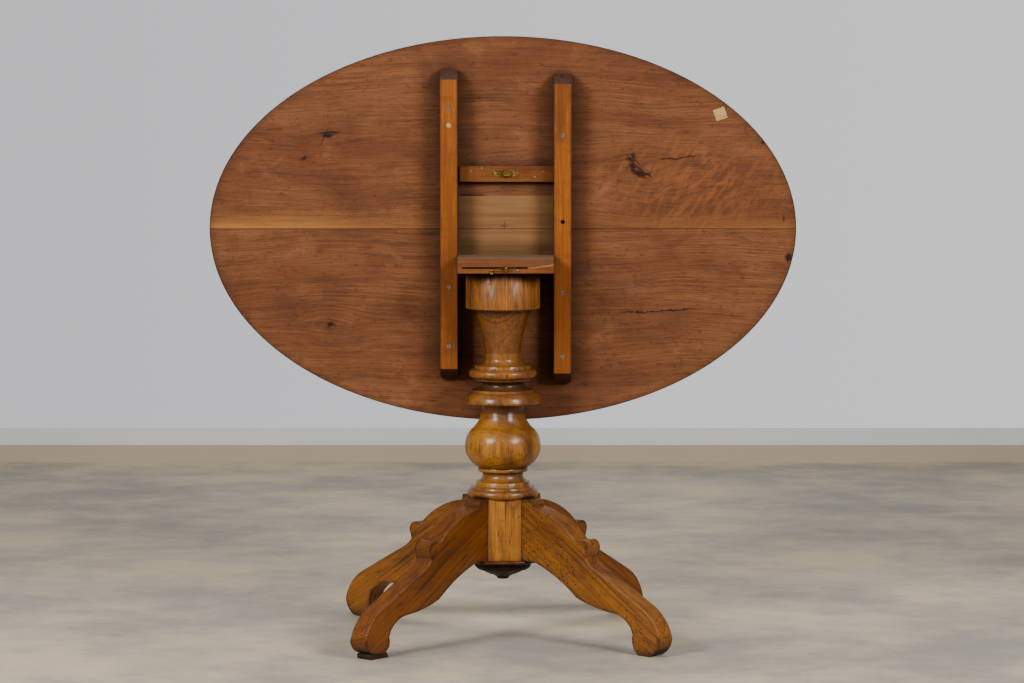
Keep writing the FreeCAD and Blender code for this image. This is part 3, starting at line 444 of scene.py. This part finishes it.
def bare_panel(mat, colour, axes, streaks):
    """Where the block covers the boards in use the wood never darkened; its front edge left a dark line."""
    across = calc(mat, "ABSOLUTE", calc(mat, "SUBTRACT", axes[0], FRAME_X))
    wide = step(mat, across, 0.0905, 0.0925, 1.0, 0.0)
    tall = step(mat, calc(mat, "MULTIPLY_ADD", streaks, 0.006, axes[2]), 0.0655, 0.0695, 1.0, 0.0)
    above = step(mat, axes[2], -0.076, -0.071)
    panel = calc(mat, "MULTIPLY", calc(mat, "MULTIPLY", wide, tall), above)
    pale = mix(mat, step(mat, streaks, 0.3, 0.7), linear("#6e4a2b"), linear("#84603a"))
    colour = mix(mat, calc(mat, "MULTIPLY", panel, 0.85), colour, pale)
    edge = step(mat, calc(mat, "ABSOLUTE", calc(mat, "SUBTRACT", axes[2], 0.0645)), 0.0006, 0.0024, 0.85, 0.0)
    left = step(mat, axes[0], -0.045, -0.025, 1.0, 0.15)
    line = calc(mat, "MULTIPLY", calc(mat, "MULTIPLY", edge, left), wide)
    colour = mix(mat, line, colour, linear("#24130a"))
    cross = calc(mat, "MINIMUM", calc(mat, "ABSOLUTE", calc(mat, "SUBTRACT", axes[0], 0.003)),
                 calc(mat, "ABSOLUTE", calc(mat, "SUBTRACT", axes[2], 0.006)))
    near = step(mat, calc(mat, "SQRT", off_centre(mat, axes, 0.003, 0.006, 0.007, 0.007)), 0.8, 1.3, 0.6, 0.0)
    mark = calc(mat, "MULTIPLY", step(mat, cross, 0.0006, 0.0020, 1.0, 0.0), near)
    return mix(mat, mark, colour, linear("#3a2110"))


def show_wood(name, shift):
    """Show side of the top, polished walnut with bold figure."""
    return waxed_walnut(name, (0, 0, 0), shift, WALNUT, 0.0080, (0.35, 0.78), 0.9)


def dark_wood(name, codes):
    """Ebonised beech or pear, worn matt; codes are its dark, middle and worn colours."""
    mat, shader = fresh(name, "blackened fruit wood, worn")
    spot = put(mat, "TexCoord").outputs["Object"]
    blotch = noise(mat, spot, 90.0, 4.0, 0.6)
    mat.node_tree.links.new(
        ramp(mat, blotch, [(0.3, codes[0]), (0.55, codes[1]), (0.75, codes[2])]), shader.inputs["Base Color"])
    shader.inputs["Roughness"].default_value = 0.6
    shader.inputs["Specular IOR Level"].default_value = 0.2
    bump(mat, shader, blotch, 0.0002)
    return mat


def pale_wood(name):
    """Pale let-in wood: lime or pine, gone tan, with soft grey grain."""
    mat, shader = fresh(name, "lime wood patch")
    spot = put(mat, "TexCoord").outputs["Object"]
    line = noise(mat, spot, 120.0, 3.0, 0.5, (0.5, 2.0, 4.0))
    mat.node_tree.links.new(
        ramp(mat, line, [(0.3, "#8a6338"), (0.5, "#a67c4a"), (0.7, "#b98f5c")]), shader.inputs["Base Color"])
    shader.inputs["Roughness"].default_value = 0.6
    bump(mat, shader, line, 0.0001)
    return mat


# ---------------------------------------------------------------- metal

def brass(name):
    """Cast and filed brass, browned in the hollows, with painted shade in the keeper's mouth, and rubbed
    bright on the high parts.
    """
    mat, shader = fresh(name, "yellow brass, aged")
    spot = put(mat, "TexCoord").outputs["Object"]
    stain = noise(mat, spot, 260.0, 4.0, 0.6)
    dirt = put(mat, "AmbientOcclusion", {"Distance": 0.004}, samples=8).outputs["AO"]
    colour = ramp(mat, stain, [(0.3, "#6e5228"), (0.55, "#9a783d"), (0.75, "#b8964f")])
    # darker in recesses: brown patina, and painted shade in the keeper's mouth
    colour = mix(mat, step(mat, dirt, 0.3, 0.95, 0.8, 0.0), colour, linear("#3b2a14"))
    mat.node_tree.links.new(colour, shader.inputs["Base Color"])
    mat.node_tree.links.new(step(mat, stain, 0.3, 0.7, 0.28, 0.48), shader.inputs["Roughness"])
    shader.inputs["Metallic"].default_value = 1.0
    bump(mat, shader, stain, 0.00005)
    return mat


def iron(name):
    """Old iron screw: grey, scratched bright at the slot, brown rust in the corners."""
    mat, shader = fresh(name, "mild steel, dull with light rust")
    spot = put(mat, "TexCoord").outputs["Object"]
    rust = noise(mat, spot, 300.0, 4.0, 0.65)
    colour = ramp(mat, rust, [(0.35, "#8e8c88"), (0.55, "#6f6a63"), (0.72, "#5a4230")])
    mat.node_tree.links.new(colour, shader.inputs["Base Color"])
    mat.node_tree.links.new(step(mat, rust, 0.35, 0.65, 0.32, 0.6), shader.inputs["Roughness"])
    shader.inputs["Metallic"].default_value = 0.9
    bump(mat, shader, rust, 0.00005)
    return mat


# ---------------------------------------------------------------- pieces

def piece(node, mats, bevel=0.0008, segments=2, smooth=40):
    """Closed, smooth-shaded copy of a CAD node with softened arrises, riding on the node's body."""
    source = frame["nodes"][node]
    build = bmesh.new()
    build.from_mesh(source.data)
    bmesh.ops.remove_doubles(build, verts=build.verts, dist=1e-6)
    if bevel:
        flat = [edge for edge in build.edges if len(edge.link_faces) == 2 and edge.calc_face_angle() < 1e-4]
        bmesh.ops.dissolve_edges(build, edges=flat, use_verts=False)
    mesh = bpy.data.meshes.new(node + "_skin")
    build.to_mesh(mesh)
    build.free()
    mesh.shade_smooth()
    mesh.set_sharp_from_angle(angle=math.radians(smooth))
    obj = bpy.data.objects.new(node + "_skin", mesh)
    bpy.context.scene.collection.objects.link(obj)
    for mat in mats:
        mesh.materials.append(mat)
    if bevel:
        edge = obj.modifiers.new("arris", "BEVEL")
        edge.width = bevel
        edge.segments = segments
        edge.limit_method = "ANGLE"
        edge.angle_limit = math.radians(35)
        edge.harden_normals = True
    even = obj.modifiers.new("even", "WEIGHTED_NORMAL")
    even.weight = 100
    even.keep_sharp = True
    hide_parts(node)
    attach(obj, BODY[node])
    return obj


def paint_faces(obj, index, wanted):
    """Give the faces the test picks (centre, normal) material slot index."""
    for face in obj.data.polygons:
        if wanted(face.center, face.normal):
            face.material_index = index


QUARTER = math.pi / 2
SLOPE = math.radians(32)

turned_wood = waxed_walnut(
    "walnut_column", (0, QUARTER, 0), (0, 0, 0.4), pith=(0.03, -0.008), holes=0.60, turned=True)
piece("column", [turned_wood], bevel=0)
# The front-left and rear-right legs take the darker walnut tones: painted shade.
LEGS = (("leg_front_right", -45, WALNUT, 0.44), ("leg_rear_right", 45, WALNUT_IN_SHADE, 0.7),
        ("leg_rear_left", 135, WALNUT, 0.7), ("leg_front_left", 225, WALNUT_IN_SHADE, 0.66))
for number, (node, azimuth, tones, holes) in enumerate(LEGS):
    turn = YAW + math.radians(azimuth)
    along = (Matrix.Rotation(-SLOPE, 3, "Y") @ Matrix.Rotation(-turn, 3, "Z")).to_euler()
    pith = (0.09, -0.16 - 0.03 * number)
    wood = waxed_walnut("walnut_" + node, along, (0, 0, 0), tones, 0.0036, pith, holes)
    piece(node, [wood], bevel=0.0012, segments=2)
# The hub plate takes the darker walnut tones: painted shade under the hub.
piece("hub_plate", [waxed_walnut("walnut_hub_plate", (0, 0, 0), (0, 0, 0), WALNUT_IN_SHADE)], 0)
# The pendant's near-black is partly its dark finish, partly painted shade under the hub.
piece("pendant", [dark_wood("dark_finish_and_shade_pendant", ("#1a0f07", "#26160b", "#38200f"))], 0)
piece("foot_pad", [dark_wood("stained_pad", ("#1d110a", "#2e1d13", "#412a1c"))])
piece("block_lower_board", [bearer_wood("walnut_block_lower", (0, 0, 0), (0.2, 0, 0.5), RAIL)])
piece("block_upper_board", [bearer_wood("walnut_block_upper", (0, 0, 0), (0, 0.3, 0.1), BLOCK, 0.9, True)])
for node in ("pivot_pin_left", "pivot_pin_right"):
    piece(node, [iron("iron_" + node)], 0)
for node, side, shift in (("top_board_front", 1, (0.1, 0.2, 0)), ("top_board_rear", -1, (0.4, 0.3, 0.07))):
    woods = [underside_wood("walnut_under_" + node, shift, side), show_wood("walnut_show_" + node, shift)]
    board = piece(node, woods, 0)
    paint_faces(board, 1, lambda centre, normal: normal.y > -0.2 and centre.y > UNDERSIDE + 0.002)
piece("top_patch", [pale_wood("lime_patch")])
for node, side in (("bearer_left", -1), ("bearer_right", 1)):
    low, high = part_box(node)
    middle = (low.x + high.x) / 2
    wood = bearer_wood("bearer_stock_" + node, (0, QUARTER, 0), (0.1 * side, 0, 0.3), middle=middle)
    stock = piece(node, [wood, end_grain("bearer_end_" + node)], 0.0012)
    ends = (low.z + 0.03, high.z - 0.03)
    paint_faces(stock, 1, lambda centre, normal: abs(normal.z) > 0.5 and not ends[0] < centre.z < ends[1])
piece("bearer_plug", [pale_wood("plug_wood")], 0)
piece("latch_rail", [bearer_wood("rail_stock", (0, 0, 0), (0.3, 0.3, 0), RAIL)])
for node in ("keeper_plate", "catch_guide", "latch_bolt", "bolt_knob", "keeper_screws", "catch_screws"):
    piece(node, [brass("brass_" + node)], 0.0002 if node == "keeper_plate" else 0)
for node in ("bearer_screws", "rail_nails", "catch_stop"):
    piece(node, [iron("iron_" + node)], 0)


# ---------------------------------------------------------------- stage

def plane(name, corners, code, rough, mottle, second="#8f8a80"):
    """One flat stage surface with a plain colour and a faint mottle of a second one."""
    mesh = bpy.data.meshes.new(name)
    mesh.from_pydata(corners, [], [(0, 1, 2, 3)])
    obj = bpy.data.objects.new(name, mesh)
    bpy.context.scene.collection.objects.link(obj)
    mat, shader = fresh(name + "_paint", "plain painted or sealed surface")
    spot = put(mat, "TexCoord").outputs["Object"]
    cloud = noise(mat, spot, 1.6, 9.0, 0.72)
    colour = mix(mat, step(mat, cloud, 0.35, 0.65, 0.0, mottle), linear(code), linear(second))
    mat.node_tree.links.new(colour, shader.inputs["Base Color"])
    shader.inputs["Roughness"].default_value = rough
    mesh.materials.append(mat)
    return obj


def glowing_backdrop(name, corners, left, right):
    """Far studio backdrop that glows by its own emission, painted light in place of a lit wall, a little
    brighter to the right, beyond any view of the object.
    """
    obj = plane(name, corners, "#c9cacc", 0.8, 0.0)
    mat = obj.data.materials[0]
    shader = mat.node_tree.nodes["Principled BSDF"]
    across = split(mat, put(mat, "TexCoord").outputs["Object"])[0]
    shader.inputs["Emission Color"].default_value = linear("#fbfbff")
    mat.node_tree.links.new(step(mat, across, -3.0, 3.0, left, right), shader.inputs["Emission Strength"])


def upright(y, low, high):
    """Corners of a sheet across the stage at y, from low to high."""
    return [(-SPREAD, y, low), (SPREAD, y, low), (SPREAD, y, high), (-SPREAD, y, high)]


SPREAD = 14
EDGE = 3.0
FAR = 12
flat = [(-SPREAD, -SPREAD, 0), (SPREAD, -SPREAD, 0), (SPREAD, EDGE, 0), (-SPREAD, EDGE, 0)]
plane("floor", flat, "#c1ae90", 0.6, 0.9, "#847e77")
# A darker band at the foot of the back wall: a painted shadow line at the foot of the skirting.
plane("shadow_line_strip", upright(EDGE, 0, 0.047), "#a3937c", 0.6, 0.1)
plane("skirting", upright(EDGE, 0.047, 0.095), "#c6c7c8", 0.6, 0.1)
glowing_backdrop("backdrop", upright(FAR, -3, 6), 0.56, 0.72)


def softbox(name, azimuth, elevation, distance, size, power, aim=(0, 0, 0.5)):
    """Square area light at a direction seen from the object; azimuth 0 is the camera's side."""
    data = bpy.data.lights.new(name, "AREA")
    data.shape = "RECTANGLE"
    data.size, data.size_y = size
    data.energy = power
    lamp = bpy.data.objects.new(name, data)
    a, e = math.radians(azimuth), math.radians(elevation)
    way = Vector((math.sin(a) * math.cos(e), -math.cos(a) * math.cos(e), math.sin(e)))
    lamp.location = Vector(aim) + way * distance
    lamp.rotation_euler = way.to_track_quat("Z", "Y").to_euler()
    bpy.context.scene.collection.objects.link(lamp)


softbox("key_left", -42, 26, 4.2, (1.25, 1.25), 190)
softbox("key_right", 42, 26, 4.2, (1.25, 1.25), 175)
softbox("floor_wash", 0, 80, 3.4, (4.0, 2.0), 80, (0.0, 1.8, 0.5))
world = bpy.data.worlds.new("studio")
world.use_nodes = True
world.node_tree.nodes["Background"].inputs[0].default_value = linear("#dfe3ea")
world.node_tree.nodes["Background"].inputs[1].default_value = 0.12
bpy.context.scene.world = world

data = bpy.data.cameras.new("camera")
data.sensor_width = 36
data.lens = 120.03
camera = bpy.data.objects.new("camera", data)
camera.location = (0.0175, -6.5, 1.055)
camera.rotation_euler = (math.radians(90 - 4.32), 0, 0)
bpy.context.scene.collection.objects.link(camera)
bpy.context.scene.camera = camera
